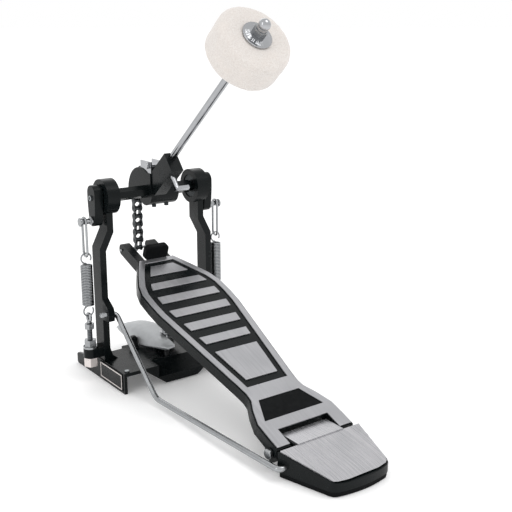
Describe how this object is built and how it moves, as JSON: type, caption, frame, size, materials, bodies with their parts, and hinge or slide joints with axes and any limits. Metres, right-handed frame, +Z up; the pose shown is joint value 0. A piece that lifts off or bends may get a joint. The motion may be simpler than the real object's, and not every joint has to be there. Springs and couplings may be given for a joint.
{
  "type": "bass drum pedal",
  "caption": "Single bass drum pedal with chain drive, round felt beater, two outside return springs, wire radius rods, ribbed footboard and heel plate.",
  "frame": {"origin": "on the floor under the axle, on the pedal's mid-plane, at the underside of the base's middle foot", "axes": "+X to the player's right, +Y towards the drum, +Z up"},
  "size_m": [0.1868, 0.445, 0.4085],
  "materials": {
    "black_gloss": "gloss",
    "black_plate": "satin",
    "rubber_black": "matte",
    "steel_screw": "satin",
    "steel_dark": "satin",
    "steel_zinc": "satin",
    "nut_light": "satin",
    "alu_brushed": "satin",
    "chrome": "polished",
    "felt_white": "matte",
    "steel_chain": "satin",
    "spring_steel": "satin",
    "jaw_metal": "satin"
  },
  "bodies": {
    "frame_group": {"frame": "black_gloss", "badge_plate": "black_plate", "base_pads": "rubber_black", "flange_screws": "steel_screw", "bearing_left": "steel_dark", "bearing_right": "steel_dark", "eye_bolt_left": "steel_zinc", "eye_bolt_right": "steel_zinc", "tension_nuts_left": "steel_zinc", "tension_nuts_right": "steel_zinc", "lock_nuts": "nut_light", "radius_rod_left": "steel_zinc", "radius_rod_right": "steel_zinc", "heel_plate": "black_gloss", "heel_top": "alu_brushed", "heel_pad": "rubber_black", "hinge_bolts": "steel_zinc", "jaw_pin": "steel_dark", "jaw_spring": "steel_dark"},
    "axle_group": {"axle": "black_gloss", "drive_cam": "black_gloss", "cam_screws": "steel_dark", "chain_channel": "chrome", "channel_screw": "chrome", "beater_holder": "black_gloss", "holder_screw": "chrome", "crank_left": "black_gloss", "crank_right": "black_gloss", "crank_bolts": "steel_screw", "crank_pin_left": "steel_zinc", "crank_pin_right": "steel_zinc"},
    "beater_group": {"beater_shaft": "chrome", "felt_head": "felt_white", "washer_front": "chrome", "washer_back": "chrome", "felt_nut": "steel_zinc", "ball_nut": "chrome"},
    "board_group": {"footboard": "black_gloss", "footboard_rim": "alu_brushed", "tread_bars": "alu_brushed", "heel_grip": "rubber_black", "toe_stop": "rubber_black", "toe_pin": "steel_zinc"},
    "strand_group": {"chain_strand": "steel_chain"},
    "link_a_group": {"chain_link_a": "steel_chain"},
    "link_b_group": {"chain_link_b": "steel_chain"},
    "link_c_group": {"chain_link_c": "steel_chain", "chain_end": "steel_chain"},
    "shackle_left_group": {"shackle_left": "steel_zinc"},
    "shackle_right_group": {"shackle_right": "steel_zinc"},
    "spring_left_group": {"spring_left": "spring_steel"},
    "spring_right_group": {"spring_right": "spring_steel"},
    "spring_left_top": {"spring_hook_left": "spring_steel"},
    "spring_right_top": {"spring_hook_right": "spring_steel"},
    "jaw_group": {"hoop_jaw": "jaw_metal"},
    "bolt_group": {"clamp_bolt": "chrome"}
  },
  "joints": [
    {"name": "axle_turn", "type": "hinge", "parent": "frame_group", "child": "axle_group", "pos_m": [0, 0, 0.21], "axis": [-1, 0, 0], "range_deg": [0, 50]},
    {"name": "beater_height", "type": "slide", "parent": "axle_group", "child": "beater_group", "axis": [0, -0.766, 0.6428], "range_m": [-0.02, 0.01]},
    {"name": "footboard_hinge", "type": "hinge", "parent": "frame_group", "child": "board_group", "pos_m": [0, -0.284, 0.017], "axis": [-1, 0, 0], "range_deg": [0, 5.33]},
    {"name": "strand_pivot", "type": "hinge", "parent": "board_group", "child": "strand_group", "pos_m": [0, 0.03608, 0.13604], "axis": [-1, 0, 0], "range_deg": [-14.14, 0]},
    {"name": "link_a_pivot", "type": "hinge", "parent": "strand_group", "child": "link_a_group", "pos_m": [0, 0.03608, 0.21224], "axis": [-1, 0, 0], "range_deg": [0, 21.97]},
    {"name": "link_b_pivot", "type": "hinge", "parent": "link_a_group", "child": "link_b_group", "pos_m": [0, 0.03257, 0.22109], "axis": [-1, 0, 0], "range_deg": [0, 20.93]},
    {"name": "link_c_pivot", "type": "hinge", "parent": "link_b_group", "child": "link_c_group", "pos_m": [0, 0.02616, 0.22814], "axis": [-1, 0, 0], "range_deg": [0, 16.82]},
    {"name": "shackle_left_pivot", "type": "hinge", "parent": "axle_group", "child": "shackle_left_group", "pos_m": [-0.085, 0, 0.185], "axis": [-1, 0, 0], "range_deg": [-59.9, 0]},
    {"name": "spring_left_pivot", "type": "hinge", "parent": "frame_group", "child": "spring_left_group", "pos_m": [-0.085, 0, 0.0807], "axis": [-1, 0, 0], "range_deg": [-9.9, 0]},
    {"name": "spring_left_stretch", "type": "slide", "parent": "spring_left_group", "child": "spring_left_top", "axis": [0, 0, 1], "range_m": [0, 0.0108], "deforming": ["spring_left"]},
    {"name": "shackle_right_pivot", "type": "hinge", "parent": "axle_group", "child": "shackle_right_group", "pos_m": [0.085, 0, 0.185], "axis": [-1, 0, 0], "range_deg": [-59.9, 0]},
    {"name": "spring_right_pivot", "type": "hinge", "parent": "frame_group", "child": "spring_right_group", "pos_m": [0.085, 0, 0.0807], "axis": [-1, 0, 0], "range_deg": [-9.9, 0]},
    {"name": "spring_right_stretch", "type": "slide", "parent": "spring_right_group", "child": "spring_right_top", "axis": [0, 0, 1], "range_m": [0, 0.0108], "deforming": ["spring_right"]},
    {"name": "jaw_pivot", "type": "hinge", "parent": "frame_group", "child": "jaw_group", "pos_m": [0, 0.013, 0.032], "axis": [1, 0, 0], "range_deg": [-4, 0]},
    {"name": "clamp_bolt_turn", "type": "hinge", "parent": "jaw_group", "child": "bolt_group", "pos_m": [0, -0.022, 0.048], "axis": [0, 0, 1], "continuous": true}
  ],
  "couplings": [
    {"joint": "footboard_hinge", "follows": "axle_turn", "ratio": 0.10067},
    {"joint": "strand_pivot", "follows": "axle_turn", "ratio": -0.27686},
    {"joint": "link_a_pivot", "follows": "axle_turn", "ratio": 0.43334},
    {"joint": "link_b_pivot", "follows": "axle_turn", "ratio": 0.41252},
    {"joint": "link_c_pivot", "follows": "axle_turn", "ratio": 0.33032},
    {"joint": "shackle_left_pivot", "follows": "axle_turn", "ratio": -1.192},
    {"joint": "spring_left_pivot", "follows": "axle_turn", "ratio": -0.192},
    {"joint": "spring_left_stretch", "follows": "axle_turn", "m_per_rad": 0.012076},
    {"joint": "shackle_right_pivot", "follows": "axle_turn", "ratio": -1.192},
    {"joint": "spring_right_pivot", "follows": "axle_turn", "ratio": -0.192},
    {"joint": "spring_right_stretch", "follows": "axle_turn", "m_per_rad": 0.012076}
  ]
}
